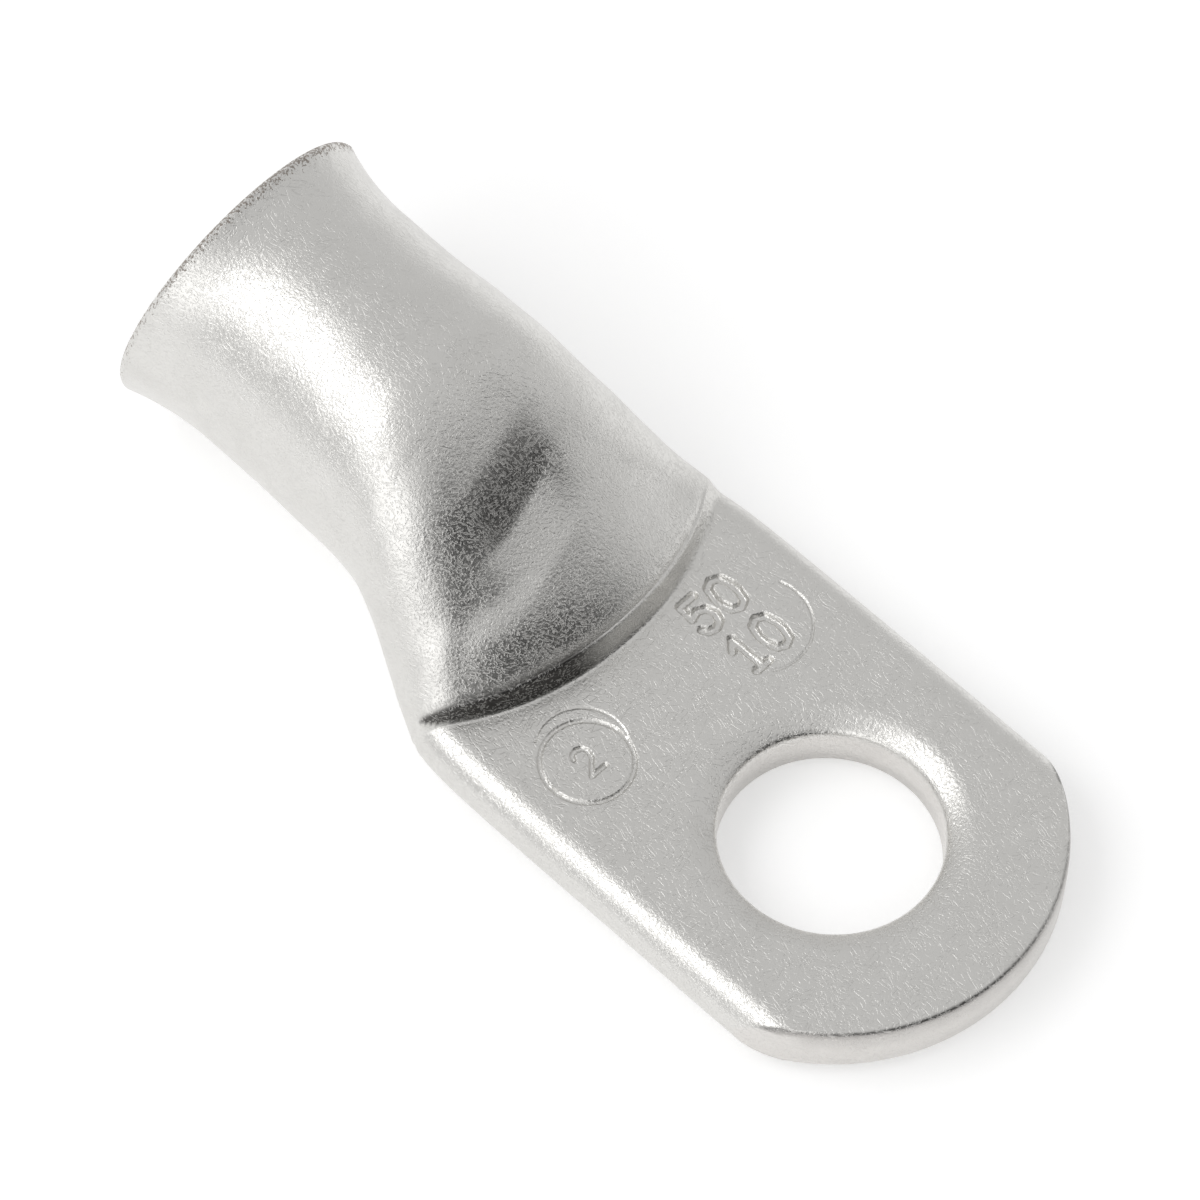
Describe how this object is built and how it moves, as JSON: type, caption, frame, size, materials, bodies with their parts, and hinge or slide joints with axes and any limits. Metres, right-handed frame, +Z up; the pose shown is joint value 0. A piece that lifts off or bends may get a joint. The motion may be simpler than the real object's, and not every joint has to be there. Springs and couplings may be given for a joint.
{
  "type": "ring terminal",
  "caption": "Closed-barrel ring terminal for a stranded power cable: a tinned copper tube, belled at the mouth, pressed flat into a palm with a stud hole and a rounded end.",
  "frame": {"origin": "centre of the stud hole on the palm's underside", "axes": "+X along the terminal towards the palm's rounded end, with the cable barrel towards -X; +Z up out of the palm's top face, along the stud; +Y across the palm"},
  "size_m": [0.0515, 0.0206, 0.0152],
  "materials": {
    "tinned_copper": "matt electro-tinned copper with fine grain and short hair scratches"
  },
  "bodies": {
    "root": {"ring_terminal": "tinned_copper"}
  },
  "joints": []
}
